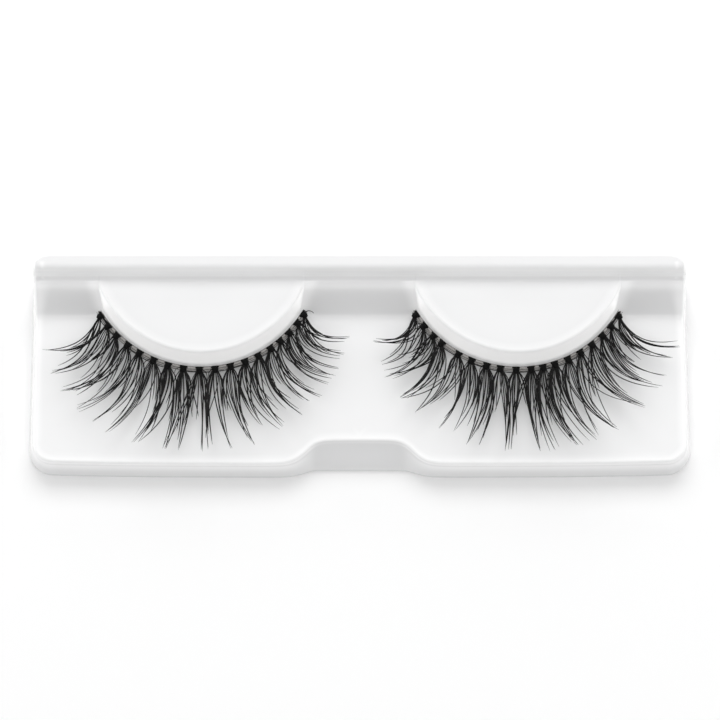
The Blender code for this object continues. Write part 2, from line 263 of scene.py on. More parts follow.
class Wiring:
    """Short calls for adding nodes to a tree and joining them."""

    def __init__(self, tree: bpy.types.NodeTree) -> None:
        """Keep the tree that the calls work on."""
        self.tree = tree

    def add(self, kind: str, **inputs: object) -> bpy.types.Node:
        """Add a node.

        Args:
            kind: the node's type name.
            inputs: what feed takes, and properties of the node under names that start with set_.

        Returns:
            The node.
        """
        node = self.tree.nodes.new(kind)
        for name in [name for name in inputs if name.startswith("set_")]:
            setattr(node, name[4:], inputs.pop(name))
        self.feed(node, **inputs)
        return node

    def feed(self, node: bpy.types.Node, **inputs: object) -> None:
        """Give a node's inputs their values, or wire outputs to them.

        Args:
            node: the node.
            inputs: plain values, output sockets, or nodes that stand for their first live output. Each is
                named as its input, in lower case with underscores, with _2 for the second of that name.
        """
        for name, value in inputs.items():
            plain, place = (name[:-2], 1) if name.endswith("_2") else (name, 0)
            matches = [socket for socket in node.inputs
                       if socket.enabled and socket.name.lower().replace(" ", "_") == plain]
            if isinstance(value, bpy.types.Node):
                value = next(output for output in value.outputs if output.enabled)
            if isinstance(value, bpy.types.NodeSocket):
                self.tree.links.new(value, matches[place])
            else:
                matches[place].default_value = value

    def noise(self, vector: object, scale: float, detail: float, **more: object) -> bpy.types.Node:
        """Add a cloudy noise."""
        return self.add("ShaderNodeTexNoise", vector=vector, scale=scale, detail=detail, **more)

    def bump(self, height: object, distance: float, strength: float, **more: object) -> bpy.types.Node:
        """Add a bump."""
        return self.add("ShaderNodeBump", height=height, distance=distance, strength=strength, **more)

    def mix(self, factor: object, first: Point, second: Point) -> bpy.types.Node:
        """Blend two colours."""
        ends = {"a": (*first, 1.0), "b": (*second, 1.0)}
        return self.add("ShaderNodeMix", set_data_type="RGBA", factor=factor, **ends)

    def times(self, first: object, second: object) -> bpy.types.Node:
        """Multiply two values."""
        return self.add("ShaderNodeMath", set_operation="MULTIPLY", value=first, value_2=second)

    def attribute(self, name: str) -> bpy.types.NodeSocket:
        """Read one of the mesh's own numbers."""
        return self.add("ShaderNodeAttribute", set_attribute_name=name).outputs["Fac"]

    def object_place(self) -> bpy.types.NodeSocket:
        """Read the place on the object."""
        return self.add("ShaderNodeTexCoord").outputs["Object"]


def new_surface(name: str) -> tuple[bpy.types.Material, Wiring, bpy.types.Node]:
    """Start a material.

    Args:
        name: its name.

    Returns:
        The material, its wiring and its Principled shader.
    """
    material = bpy.data.materials.new(name)
    material.use_nodes = True
    shader = material.node_tree.nodes["Principled BSDF"]
    return material, Wiring(material.node_tree), shader


# Finishes


@dataclass(frozen=True)
class TrayPlastic:
    """Glossy white sheet plastic, very slightly wavy from its mould, with faint handling marks, and a painted
    glow of light and highlights.
    """

    colour: Point = (0.864, 0.865, 0.868)
    shade: Point = (0.848, 0.850, 0.854)
    roughness: float = 0.17
    roughness_marks: float = 0.07
    marks_scale: float = 420.0
    marks_stretch: Point = (1.0, 5.0, 1.0)
    wave_scale: float = 160.0
    wave_depth: float = 0.010 * MM
    grain_scale: float = 3200.0
    grain_depth: float = 0.0006 * MM
    ior: float = 1.49
    # Colour and strength of the painted glow: painted light and painted highlights shown by emission.
    painted_glow_colour: Point = (1.0, 0.995, 0.985)
    painted_glow_strength: float = 0.36

    def make(self) -> bpy.types.Material:
        """Build the material.

        Returns:
            A Principled material with cloudy colour, marked gloss, two depths of bump, and a painted glow
            from emission, as strong as the mesh's glow share says: painted light on shaded faces and painted
            highlights on the edges.
        """
        material, wire, shader = new_surface("tray_white_gloss")
        place = wire.object_place()
        cloud = wire.noise(place, self.wave_scale, 3.0)
        stretched = wire.add("ShaderNodeMapping", vector=place, scale=self.marks_stretch)
        marks = wire.noise(stretched, self.marks_scale, 6.0, roughness=0.65)
        gloss = wire.add("ShaderNodeMapRange", value=marks, from_min=0.35, from_max=0.75,
                         to_min=self.roughness, to_max=self.roughness + self.roughness_marks)
        fine = wire.bump(wire.noise(place, self.grain_scale, 2.0), self.grain_depth, 0.5)
        # The emission paints glow onto the sheet: painted light on its shaded faces and painted highlights on
        # its edges.
        wire.feed(shader, base_color=wire.mix(cloud, self.shade, self.colour), roughness=gloss, ior=self.ior,
                  normal=wire.bump(cloud, self.wave_depth, 0.6, normal=fine),
                  emission_color=(*self.painted_glow_colour, 1.0),
                  emission_strength=wire.times(wire.attribute("painted_glow_share"), self.painted_glow_strength))
        return material


@dataclass(frozen=True)
class ClearBand:
    """Thin clear plastic of the band, grey where its lengthwise lines are."""

    colour: Point = (0.52, 0.50, 0.48)
    line: Point = (0.30, 0.28, 0.26)
    opacity: float = 0.50
    roughness: float = 0.22
    lines: float = 5.0
    line_depth: float = 0.02 * MM

    def make(self) -> bpy.types.Material:
        """Build the material.

        Returns:
            A Principled material that lets light through, lined along the band by its UV map.
        """
        material, wire, shader = new_surface("band_clear_film")
        across = wire.add("ShaderNodeSeparateXYZ", vector=wire.add("ShaderNodeUVMap", set_uv_map="along"))
        turns = wire.times(across.outputs["Y"], self.lines * 2.0 * math.pi)
        wave = wire.add("ShaderNodeMath", set_operation="SINE", value=turns)
        ridges = wire.add("ShaderNodeMapRange", value=wave, from_min=0.2, from_max=1.0)
        wire.feed(shader, base_color=wire.mix(ridges, self.colour, self.line), alpha=self.opacity,
                  roughness=self.roughness, normal=wire.bump(ridges, self.line_depth, 0.4))
        return material


@dataclass(frozen=True)
class Fibre:
    """Black synthetic fibre, satin along its length, each hair a little lighter or darker."""

    name: str
    colour: Point
    light: Point
    roughness: float
    grain_scale: float
    grain_depth: float
    gloss: float

    def make(self) -> bpy.types.Material:
        """Build the material.

        Returns:
            A Principled material with a tone for each strand and a fine grain.
        """
        material, wire, shader = new_surface(self.name)
        grain = wire.noise(wire.object_place(), self.grain_scale, 3.0)
        tone = wire.times(wire.attribute("tone"), grain)
        rough = wire.add("ShaderNodeMapRange", value=grain, from_min=0.3, from_max=0.7,
                         to_min=self.roughness * 0.85, to_max=self.roughness * 1.2)
        wire.feed(shader, base_color=wire.mix(tone, self.colour, self.light), roughness=rough,
                  normal=wire.bump(grain, self.grain_depth, 0.5), specular_ior_level=self.gloss)
        return material


HAIR_FIBRE = Fibre(
    name="lash_black_fibre", colour=(0.002, 0.002, 0.002), light=(0.012, 0.011, 0.011), roughness=0.34,
    grain_scale=6000.0, grain_depth=0.004 * MM, gloss=0.16,
)
THREAD_FIBRE = Fibre(
    name="knot_black_thread", colour=(0.001, 0.001, 0.001), light=(0.007, 0.006, 0.006), roughness=0.50,
    grain_scale=9000.0, grain_depth=0.010 * MM, gloss=0.14,
)


@dataclass(frozen=True)
class Tabletop:
    """The plain pale surface that the tray stands on."""

    colour: Point = (0.97, 0.97, 0.97)
    roughness: float = 0.9
    gloss: float = 0.1

    def make(self) -> bpy.types.Material:
        """Build the material.

        Returns:
            A matt Principled material.
        """
        material, wire, shader = new_surface("tabletop_white")
        wire.feed(shader, base_color=(*self.colour, 1.0), roughness=self.roughness,
                  specular_ior_level=self.gloss)
        return material


# Geometry Nodes trees


class GrowTree:
    """A geometry tree with named inputs that turns points or lines into a plain mesh."""

    def __init__(self, name: str, *numbers: str) -> None:
        """Start the tree.

        Args:
            name: its name.
            numbers: the names of its own inputs; Radius, Sides and Material are inputs of every tree.
        """
        self.tree = bpy.data.node_groups.new(name, "GeometryNodeTree")
        self.tree.interface.new_socket("Geometry", in_out="OUTPUT", socket_type="NodeSocketGeometry")
        kinds = {"Geometry": "Geometry", "Radius": "Float", "Sides": "Int", "Material": "Material"}
        kinds.update(dict.fromkeys(numbers, "Float"))
        for label, kind in kinds.items():
            self.tree.interface.new_socket(label, in_out="INPUT", socket_type="NodeSocket" + kind)
        self.wire = Wiring(self.tree)
        self.given = self.wire.add("NodeGroupInput").outputs

    def tube(self, curve: bpy.types.Node, **more: object) -> bpy.types.Node:
        """Turn a curve into a capped tube.

        Args:
            curve: the node that gives the curve.
            more: other inputs of the node that makes the mesh.

        Returns:
            The node that gives the mesh.
        """
        profile = self.wire.add("GeometryNodeCurvePrimitiveCircle", resolution=self.given["Sides"],
                                radius=self.given["Radius"])
        return self.wire.add("GeometryNodeCurveToMesh", curve=curve, profile_curve=profile, fill_caps=True,
                             **more)

    def end(self, mesh: bpy.types.Node) -> None:
        """Finish the tree: smooth, realized and with its material.

        Args:
            mesh: the node that gives the mesh.
        """
        smooth = self.wire.add("GeometryNodeSetShadeSmooth", geometry=mesh)
        real = self.wire.add("GeometryNodeRealizeInstances", geometry=smooth)
        painted = self.wire.add("GeometryNodeSetMaterial", geometry=real, material=self.given["Material"])
        self.wire.add("NodeGroupOutput", geometry=painted)

    def grow(self, name: str, source: bpy.types.Mesh, sizes: dict[str, object]) -> bpy.types.Object:
        """Run the tree on a mesh and keep the plain mesh that it makes.

        Args:
            name: the finished piece's name.
            source: the mesh of points or lines.
            sizes: values for the tree's named inputs.

        Returns:
            An object at the origin, with no modifier.
        """
        seedling = add_object(name + "_seed", source)
        modifier = seedling.modifiers.new("grow", "NODES")
        modifier.node_group = self.tree
        for socket in self.tree.interface.items_tree:
            if socket.in_out == "INPUT" and socket.name in sizes:
                modifier[socket.identifier] = sizes[socket.name]
        graph = bpy.context.evaluated_depsgraph_get()
        graph.update()
        mesh = bpy.data.meshes.new_from_object(seedling.evaluated_get(graph), preserve_all_data_layers=True,
                                               depsgraph=graph)
        mesh.name = name
        bpy.data.objects.remove(seedling, do_unlink=True)
        return add_object(name, mesh)


class StrandTree(GrowTree):
    """Round strands along lines, each point's thickness attribute a share of the Radius."""

    def __init__(self) -> None:
        """Build the tree."""
        super().__init__("strands")
        curve = self.wire.add("GeometryNodeMeshToCurve", mesh=self.given["Geometry"])
        thickness = self.wire.add("GeometryNodeInputNamedAttribute", set_data_type="FLOAT", name="thickness")
        self.end(self.tube(curve, scale=thickness))


class WindingTree(GrowTree):
    """A binding of thread at each point, turned by the point's heading attribute."""

    def __init__(self) -> None:
        """Build the tree."""
        super().__init__("winding", "Turns", "Length", "Half Width", "Half Height")
        wire, given = self.wire, self.given
        helix = wire.add("GeometryNodeCurveSpiral", resolution=14, rotations=given["Turns"], start_radius=1.0,
                         end_radius=1.0, height=given["Length"])
        centred = wire.add("ShaderNodeCombineXYZ", z=wire.times(given["Length"], -0.5))
        flat = wire.add("ShaderNodeCombineXYZ", x=given["Half Height"], y=given["Half Width"], z=1.0)
        shaped = wire.add("GeometryNodeTransform", geometry=helix, translation=centred, scale=flat)
        heading = wire.add("GeometryNodeInputNamedAttribute", set_data_type="FLOAT_VECTOR", name="heading")
        turn = wire.add("FunctionNodeEulerToRotation", euler=heading)
        self.end(wire.add("GeometryNodeInstanceOnPoints", points=given["Geometry"], rotation=turn,
                          instance=self.tube(shaped)))


@dataclass
class Polylines:
    """Points, edges and attributes of the lines that a strand tree reads."""

    points: list[Point] = field(default_factory=list)
    edges: list[tuple[int, int]] = field(default_factory=list)
    thickness: list[float] = field(default_factory=list)
    tone: list[float] = field(default_factory=list)

    def add(self, line: list[Point], thickness: list[float], tone: float) -> None:
        """Add one line.

        Args:
            line: its points.
            thickness: a share of the strand's radius at each point.
            tone: how light the strand is, from 0 to 1.
        """
        first = len(self.points)
        self.points += line
        self.edges += [(first + index, first + index + 1) for index in range(len(line) - 1)]
        self.thickness += thickness
        self.tone += [tone] * len(line)

    def mesh(self, name: str) -> bpy.types.Mesh:
        """Make the mesh that the tree reads.

        Args:
            name: the mesh's name.

        Returns:
            A mesh of edges with the thickness and tone attributes.
        """
        mesh = bpy.data.meshes.new(name)
        mesh.from_pydata(self.points, self.edges, [])
        for label, values in (("thickness", self.thickness), ("tone", self.tone)):
            mesh.attributes.new(label, "FLOAT", "POINT").data.foreach_set("value", values)
        return mesh


# Tray


@dataclass(frozen=True)
class TraySizes:
    """Sizes of the tray; its overall width, depth and height come from the frame."""

    floor_height: float = 3.8 * MM
    pad_height: float = 8.0 * MM
    wall: float = 0.45 * MM
    edge_inset: float = 1.1 * MM
    front_corner: float = 2.4 * MM
    back_corner: float = 1.9 * MM
    front_bow: float = 0.4 * MM
    notch_depth: float = 3.4 * MM
    notch_foot_depth: float = 1.0 * MM
    notch_half_width: float = 7.65 * MM
    notch_softness: float = 1.7 * MM
    bar_depth: float = 2.15 * MM
    bar_lean: float = 0.15 * MM
    bar_round: float = 0.9 * MM
    bar_fillet: float = 0.8 * MM
    pad_spacing: float = 43.95 * MM
    pad_radius: float = 15.7 * MM
    pad_reach: float = 11.35 * MM
    arc_stretch: float = 1.064
    rim_round: float = 0.55 * MM
    side_lean: float = 0.42 * MM
    cove_height: float = 1.4 * MM
    cove_reach: float = 3.1 * MM
    slope_reach: float = 6.3 * MM
    slope_blend: float = 0.9 * MM
    pad_dish: float = 0.10 * MM


# The wall's section below the upper edge: (share of the inset, drop below the edge)
UPPER_WALL = (
    (0.09, 0.01 * MM), (0.18, 0.05 * MM), (0.26, 0.13 * MM), (0.32, 0.25 * MM), (0.36, 0.40 * MM),
    (0.385, 0.56 * MM), (0.40, 0.70 * MM), (0.43, 0.78 * MM), (0.475, 0.86 * MM), (0.52, 0.98 * MM),
    (0.56, 1.16 * MM), (0.61, 1.40 * MM),
)
# Its section down to the foot: (share of the inset, height)
LOWER_WALL = (
    (0.90, 1.10 * MM), (0.97, 0.72 * MM), (1.00, 0.42 * MM), (0.99, 0.22 * MM), (0.95, 0.08 * MM),
    (0.86, 0.0),
)


@dataclass
class TrayFace:
    """The right half of one face of the moulding, as rays from its pad's root."""

    sizes: TraySizes
    skin: Skin
    foot_width: float
    foot_depth: float
    height: float
    finer: int = 2

    def __post_init__(self) -> None:
        """Work out the places that follow from the sizes."""
        size = self.sizes
        depth = size.wall * self.skin.value
        self.floor = size.floor_height - depth
        self.step = size.pad_height - size.floor_height
        self.bar_top = self.height - depth
        self.pad_x = size.pad_spacing / 2.0
        self.bar_front = self.foot_depth / 2.0 - size.edge_inset - size.bar_depth
        self.bar_foot = self.bar_front + depth
        self.fillet_start = self.bar_foot - size.bar_fillet
        self.slope_foot = self.bar_foot - size.slope_reach
        self.arc_y = self.bar_front - size.pad_reach + size.pad_radius * size.arc_stretch
        self.pad_radius = size.pad_radius - depth
        self.edge_x = self.foot_width / 2.0 - size.edge_inset - depth
        self.edge_front = -self.foot_depth / 2.0 + size.edge_inset + depth
        self.edge_back = self.foot_depth / 2.0 - size.edge_inset - depth
        self.notch_half_width = size.notch_half_width + depth / 2.0
        self.front_corner = size.front_corner - depth
        self.back_corner = size.back_corner - depth
        self.corner_x = self.edge_x - self.front_corner
        self.corner_y = self.front_y(self.corner_x) + self.front_corner

    def arc_distance(self, x: float, y: float) -> float:
        """Distance outside the pad's rim."""
        return math.hypot(x - self.pad_x, (y - self.arc_y) / self.sizes.arc_stretch) - self.pad_radius

    def edge_distance(self, x: float, y: float) -> float:
        """Distance inside the upper edge at the front and the side.

        Args:
            x: the place's distance from the tray's middle.
            y: its place from front to back.

        Returns:
            The distance, negative outside.
        """
        if x > self.corner_x and y < self.corner_y:
            return self.front_corner - math.hypot(x - self.corner_x, y - self.corner_y)
        return min(self.edge_x - x, y - self.front_y(x))

    def side_height(self, distance: float) -> float:
        """Height above the floor of the pad, its rim, its side and its cove.

        Args:
            distance: how far outside the rim, negative on the pad.

        Returns:
            The height.
        """
        size = self.sizes
        if distance <= -size.rim_round:
            dish = smooth_step((-distance - size.rim_round) / (0.5 * self.pad_radius))
            return self.step - size.pad_dish * dish
        if distance <= 0.0:
            run = distance + size.rim_round
            return self.step - size.rim_round + math.sqrt(max(0.0, size.rim_round ** 2 - run ** 2))
        if distance <= size.side_lean:
            drop = self.step - size.rim_round - size.cove_height
            return size.cove_height + drop * (1.0 - distance / size.side_lean)
        turn = 1.0 - (distance - size.side_lean) / size.cove_reach
        if turn <= 0.0:
            return 0.0
        return size.cove_height * (1.0 - math.sqrt(1.0 - turn * turn))

    def slope_height(self, y: float) -> float:
        """Height above the floor of the soft slope that runs up to the bar."""
        share = min(1.0, max(0.0, (y - self.slope_foot) / self.sizes.slope_reach))
        return self.step * share ** 3 * (10.0 - 15.0 * share + 6.0 * share * share)

    def surface(self, x: float, y: float) -> float:
        """Height of the face in front of the bar.

        Args:
            x: the place's distance from the tray's middle.
            y: its place from front to back.

        Returns:
            The height, the pad's side and the slope blended where they meet.
        """
        side = self.side_height(self.arc_distance(x, y))
        slope = self.slope_height(y)
        high = max(side, slope)
        blend = self.sizes.slope_blend * (1.0 - high / self.step)
        overlap = blend - abs(side - slope)
        if overlap > 0.0:
            high += overlap ** 2 / (4.0 * blend)
        return self.floor + high

    def notch_share(self, x: float) -> float:
        """How much of the notch's depth is cut at a distance from the tray's middle."""
        return 0.5 * (1.0 - math.tanh((x - self.notch_half_width) / self.sizes.notch_softness))

    def front_y(self, x: float) -> float:
        """The upper edge along the front."""
        bow = self.sizes.front_bow * (x / self.edge_x) ** 4
        return self.edge_front + bow + self.sizes.notch_depth * self.notch_share(x)

    def edge_points(self) -> list[Plan]:
        """Go round the upper edge in plan.

        Returns:
            Points from the seam at the bar's foot, down the seam, along the front and up the side.
        """
        softness, fine = self.sizes.notch_softness, self.finer
        slope_y = spread(self.fillet_start, self.slope_foot, 14 * fine)
        points = [(0.0, y) for y in [self.fillet_start] + slope_y]
        points += [(0.0, y) for y in spread(self.slope_foot, self.front_y(0.0), 8 * fine)]
        notch_inner = self.notch_half_width - 1.8 * softness
        notch_outer = self.notch_half_width + 2.4 * softness
        front = spread(0.0, notch_inner, 6 * fine) + spread(notch_inner, notch_outer, 20 * fine)
        front += spread(notch_outer, self.corner_x, 26 * fine)
        points += [(x, self.front_y(x)) for x in front]
        for turn in quarter_turn(10 * fine):
            points.append((self.corner_x + self.front_corner * math.sin(turn),
                           self.corner_y - self.front_corner * math.cos(turn)))
        side_y = spread(self.corner_y, self.slope_foot, 12 * fine)
        side_y += spread(self.slope_foot, self.fillet_start, 14 * fine)
        return points + [(self.edge_x, y) for y in side_y]

    def run_to(self, direction: Plan, distance: float) -> float:
        """Find how far a ray from the pad's root runs.

        Args:
            direction: the ray's direction in plan.
            distance: how far outside the rim it ends.

        Returns:
            The run.
        """
        stretch = self.sizes.arc_stretch
        dx, dy = direction
        offset = self.fillet_start - self.arc_y
        a = dx ** 2 + (dy / stretch) ** 2
        b = 2.0 * offset * dy / stretch ** 2
        c = (offset / stretch) ** 2 - (self.pad_radius + distance) ** 2
        return (-b + math.sqrt(b * b - 4.0 * a * c)) / (2.0 * a)

    def ray_points(self, edge: Plan) -> list[Plan]:
        """Place the points of one ray, closer together where the face turns.

        Args:
            edge: the point of the upper edge where the ray ends.

        Returns:
            Plan points from just outside the pad's root to the edge.
        """
        size, fine = self.sizes, self.finer
        length = math.hypot(edge[0] - self.pad_x, edge[1] - self.fillet_start)
        direction = ((edge[0] - self.pad_x) / length, (edge[1] - self.fillet_start) / length)
        stops = (-size.rim_round, 0.0, size.side_lean, size.side_lean + size.cove_reach)
        rim, side, foot, cove = (self.run_to(direction, stop) for stop in stops)
        runs = spread(0.0, rim, 6 * fine)
        runs += [rim + (side - rim) * math.sin(turn) for turn in quarter_turn(5 * fine)]
        runs += spread(side, foot, 2 * fine)
        runs += [foot + (cove - foot) * share ** 1.5 for share in spread(0.0, 1.0, 8 * fine)]
        runs += spread(cove, length, 11 * fine)
        return [(self.pad_x + run * direction[0], self.fillet_start + run * direction[1]) for run in runs]

    def add_front(self, bm: bmesh.types.BMesh) -> list[Row]:
        """Add the face in front of the bar.

        Args:
            bm: the mesh to add to.

        Returns:
            The vertices of each ray, from the root outwards.
        """
        root = bm.verts.new((self.pad_x, self.fillet_start, self.surface(self.pad_x, self.fillet_start)))
        rays = []
        for edge in self.edge_points():
            rays.append([bm.verts.new((x, y, self.surface(x, y))) for x, y in self.ray_points(edge)])
        for ray, following in zip(rays, rays[1:]):
            bm.faces.new((root, ray[0], following[0]))
        join_rows(bm, rays)
        return [[root] + ray for ray in rays]

    def bar_sections(self) -> list[Point]:
        """Work out the bar's fillet, front and rounded top edge.

        Returns:
            Rows of distance behind the fillet's start, share of the climb from there to the top edge's
            start, and height above that start.
        """
        size = self.sizes
        steps = 2 * self.finer
        fillet = size.bar_fillet
        climb = self.bar_top - size.bar_round - (self.floor + self.step)
        rows = [(fillet * math.sin(turn), fillet / climb * (1.0 - math.cos(turn)), 0.0)
                for turn in quarter_turn(2 * steps)]
        rows += [(fillet + size.bar_lean * share, share, 0.0) for share in spread(fillet / climb, 1.0, steps)]
        start = fillet + size.bar_lean
        rows += [(start + size.bar_round * (1.0 - math.cos(turn)), 1.0, size.bar_round * math.sin(turn))
                 for turn in quarter_turn(2 * steps)]
        return rows

    def add_bar(self, bm: bmesh.types.BMesh, rays: list[Row]) -> Row:
        """Add the bar behind its foot line.

        Args:
            bm: the mesh to add to.
            rays: the rays of the face in front of it.

        Returns:
            The bar's outer vertices, from its end's foot round to the seam at the back.
        """
        foot = list(reversed(rays[0])) + rays[-1][1:]
        rows = [foot]
        round_start = self.bar_top - self.sizes.bar_round
        for back, share, rise in self.bar_sections():
            heights = [vert.co.z + (round_start - vert.co.z) * share + rise for vert in foot]
            rows.append([bm.verts.new((vert.co.x, self.fillet_start + back, height))
                         for vert, height in zip(foot, heights)])
        front_y = rows[-1][0].co.y
        for turn in quarter_turn(8 * self.finer):
            narrower = 1.0 - self.back_corner * (1.0 - math.cos(turn)) / self.edge_x
            y = front_y + (self.edge_back - front_y) * math.sin(turn)
            rows.append([bm.verts.new((vert.co.x * narrower, y, self.bar_top)) for vert in foot])
        join_rows(bm, rows)
        return [row[-1] for row in rows[1:]] + list(reversed(rows[-1][:-1]))

    def wall_rows(self) -> list[tuple[float, float, float, float]]:
        """Work out the outer wall's section.

        Returns:
            Rows of share of the inset, drop below the upper edge, height above the foot, and share of the
            way from the first of these heights to the second.
        """
        high_out, high_drop = UPPER_WALL[-1]
        low_out, low_height = LOWER_WALL[0]
        rows = [(out, drop, 0.0, 0.0) for out, drop in UPPER_WALL]
        rows += [(high_out + (low_out - high_out) * share, high_drop, low_height, share)
                 for share in spread(0.0, 1.0, 3 * self.finer)[:-1]]
        return rows + [(out, 0.0, height, 1.0) for out, height in LOWER_WALL]

    def add_wall(self, bm: bmesh.types.BMesh, edge: Row) -> Row:
        """Hang the outer wall from the upper edge.

        Args:
            bm: the mesh to add to.
            edge: the upper edge's vertices, from the seam at the front round to the seam at the back.

        Returns:
            The vertices of the foot.
        """
        tops = [tuple(vert.co) for vert in edge]
        normals = plan_normals(tops)
        slant = self.sizes.notch_depth - self.sizes.notch_foot_depth
        rows = [edge]
        for out, drop, low, share in self.wall_rows():
            row = []
            out_by = out * self.sizes.edge_inset
            for (x, y, top), (nx, ny) in zip(tops, normals):
                height = (top - drop) * (1.0 - share) + low * share
                forward = slant * self.notch_share(x) * smooth_step((top - height) / top) if y < 0.0 else 0.0
                row.append(bm.verts.new((x + out_by * nx, y + out_by * ny - forward, height)))
            rows.append(row)
        join_rows(bm, rows)
        return rows[-1]

    def add_to(self, bm: bmesh.types.BMesh) -> Row:
        """Add the whole half face.

        Args:
            bm: the mesh to add to.

        Returns:
            The vertices of its foot, front seam first.
        """
        rays = self.add_front(bm)
        front_of_seam = next(index for index, ray in enumerate(rays) if ray[-1].co.x > 0.0) - 1
        edge = [ray[-1] for ray in rays[front_of_seam:]]
        return self.add_wall(bm, edge + self.add_bar(bm, rays))


@dataclass(frozen=True)
class PaintedGlow:
    """Painted glow on the tray: painted light that lifts its steep faces, floor and pads' sides, and painted
    highlights along its rolled edges and near the bar's ends; strengths from 0 to 1, and where each begins
    and fades.
    """

    # Painted light on steep faces: where it starts and how fast it grows.
    steep_start: float = 0.60
    steep_range: float = 0.40
    # Painted light on the bar's front.
    bar_front: float = 0.34
    bar_start: float = 0.97
    bar_range: float = 0.50
    # Painted highlight streak near each end of the bar's top.
    streak: float = 0.32
    streak_inset: float = 0.75 * MM
    streak_width: float = 0.28 * MM
    streak_back: float = 0.55 * MM
    streak_fade: float = 0.5 * MM
    # Painted light on the upper part of the outer wall.
    wall: float = 0.42
    wall_start: float = 0.5
    wall_rate: float = 1.6
    # Painted light on the pads' sides.
    rim_start: float = 1.5
    side: float = 0.34
    side_steep: float = 0.71
    side_fade: float = 0.5
    # Painted light on the tray's floor.
    floor: float = 0.19
    floor_fade: float = 0.22
    # Painted highlight along the rolled upper edge.
    lip: float = 0.18
    lip_slope: float = 1.0
    lip_reach: float = 0.8 * MM
    lip_widening: float = 1.6 * MM
    slack: float = 0.02 * MM

    def painted_glow_share(self, face: TrayFace, place: Vector, normal: Vector) -> float:
        """Say how much painted glow a place gets.

        Args:
            face: the moulding's outer face.
            place: a point of the moulding.
            normal: the surface's direction there.

        Returns:
            A share of painted glow: painted light most on the pads' sides, less on other steep places and the
                floor, and painted highlights on the rolled edges and near the bar's ends.
        """
        if normal.z < 0.0 or normal.y > 0.5:
            return 0.0
        steep = smooth_step((self.steep_start - normal.z) / self.steep_range)
        # At the bar: painted light on its front and a painted highlight streak near each end.
        if place.z > face.floor + face.step + self.slack:
            past = (abs(place.x) - face.edge_x + self.streak_inset) / self.streak_width
            ahead = smooth_step((face.edge_back - self.streak_back - place.y) / self.streak_fade)
            return max(self.bar_front * smooth_step((self.bar_start - normal.z) / self.bar_range),
                       self.streak * ahead * math.exp(-past * past))
        # Outer walls and the bar's foot: painted light on steep faces, stronger higher up.
        if place.z < face.floor - self.slack or place.y > face.fillet_start:
            return self.wall * steep * smooth_step(self.wall_rate * place.z / face.floor - self.wall_start)
        # Floor, slopes and pads: painted light on the pads' sides and the floor, and a painted highlight
        # along the rolled edge.
        size = face.sizes
        off_pad = face.arc_distance(abs(place.x), place.y)
        rim = smooth_step((off_pad + self.rim_start * size.rim_round) / size.rim_round)
        side = 1.0 - smooth_step((off_pad - size.side_lean) / (self.side_fade * size.cove_reach))
        high = (place.z - face.floor) / face.step
        reach = self.lip_reach + self.lip_widening * high
        lip = 1.0 - smooth_step(face.edge_distance(abs(place.x), place.y) / reach)
        flat = self.floor * (1.0 - smooth_step(high / self.floor_fade))
        strength = self.lip + self.lip_slope * max(0.0, high * (1.0 - high))
        return max(rim * side * (self.side + self.side_steep * steep), flat + strength * lip)


@dataclass
class Tray:
    """The moulding: an outer and an inner face that meet at the foot."""

    sizes: TraySizes
    finish: TrayPlastic = TrayPlastic()
    # Painted glow: where painted light and painted highlights show on the sheet.
    glow: PaintedGlow = PaintedGlow()
    node: str = "tray"

    def face(self, skin: Skin) -> TrayFace:
        """One face of the moulding, its overall size read from the frame."""
        low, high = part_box(self.node)
        return TrayFace(self.sizes, skin, high[0] - low[0], high[1] - low[1], high[2] - low[2])

    def build(self) -> bpy.types.Object:
        """Make the tray.

        Returns:
            The finished piece.
        """
        bm = bmesh.new()
        outer = self.face(Skin.OUTER)
        foot = outer.add_to(bm)
        join_rows(bm, [foot, self.face(Skin.INNER).add_to(bm)])
        everything = bm.verts[:] + bm.edges[:] + bm.faces[:]
        bmesh.ops.mirror(bm, geom=everything, matrix=Matrix.Identity(4), merge_dist=0.001 * MM, axis="X")
        piece = finish_mesh(bm, "white_tray", self.finish.make())
        # Each vertex's share of painted glow, which the material's emission shows as painted light and
        # painted highlights.
        painted_glow_share = [self.glow.painted_glow_share(outer, vert.co, vert.normal) for vert in piece.data.vertices]
        piece.data.attributes.new("painted_glow_share", "FLOAT", "POINT").data.foreach_set("value", painted_glow_share)
        dress(piece, [self.node])
        return piece


# Lash strips


@dataclass(frozen=True)
class LongTip:
    """A clump of long hairs: where its tip lies round the pad, and how far out."""

    angle: float
    reach: float


